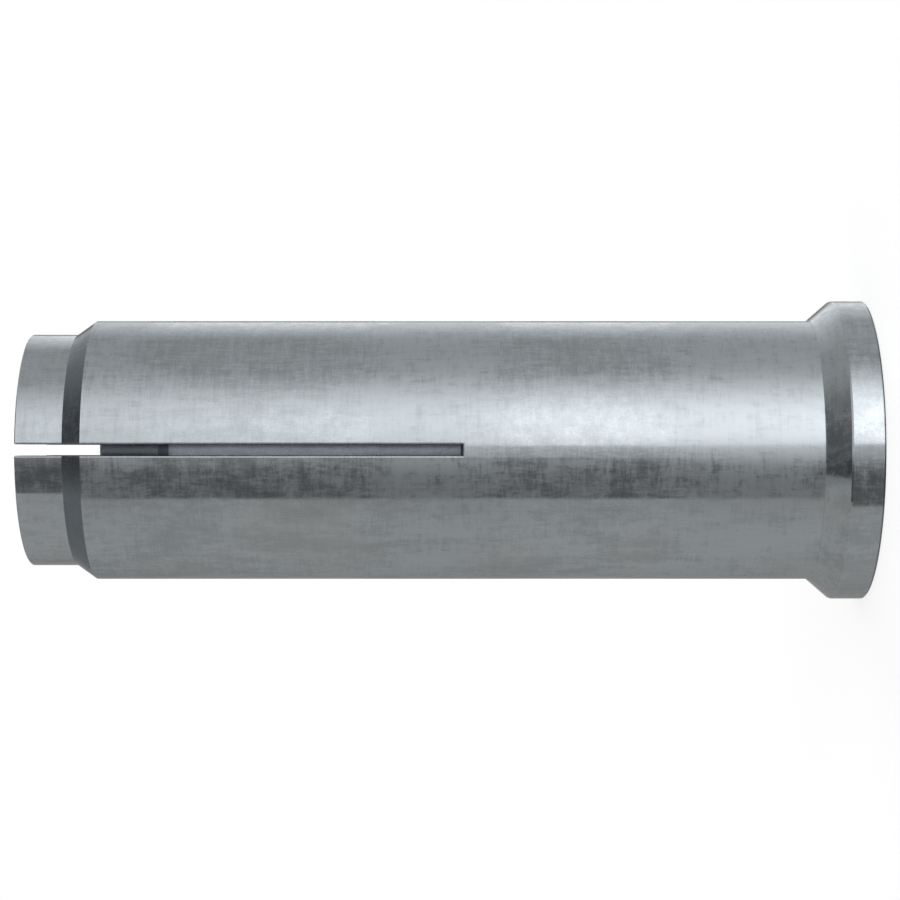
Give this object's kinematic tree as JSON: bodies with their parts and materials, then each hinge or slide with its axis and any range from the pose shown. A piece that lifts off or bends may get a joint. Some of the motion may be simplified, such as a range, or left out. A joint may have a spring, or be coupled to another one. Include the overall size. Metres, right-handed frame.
{
  "type": "drop-in anchor",
  "caption": "Steel drop-in anchor: a flanged, slotted sleeve with a threaded mouth, and an expander plug waiting in its tapered end.",
  "frame": {"origin": "centre of the mouth face, on which the anchor stands", "axes": "+Z runs along the anchor's axis from the threaded mouth to the slotted tip; the slots lie on the X and Y axes"},
  "size_m": [0.018, 0.018, 0.05],
  "materials": {
    "zinc_sleeve": "satin zinc plating over turned steel, with fine turning marks",
    "dark_plug": "plain turned steel, a little darker than the sleeve"
  },
  "bodies": {
    "sleeve_body": {"sleeve": "zinc_sleeve"},
    "plug_body": {"expander_plug": "dark_plug"}
  },
  "joints": [
    {"name": "plug_slide", "type": "slide", "parent": "sleeve_body", "child": "plug_body", "axis": [0, 0, 1], "range_m": [0, 0.0024]}
  ]
}
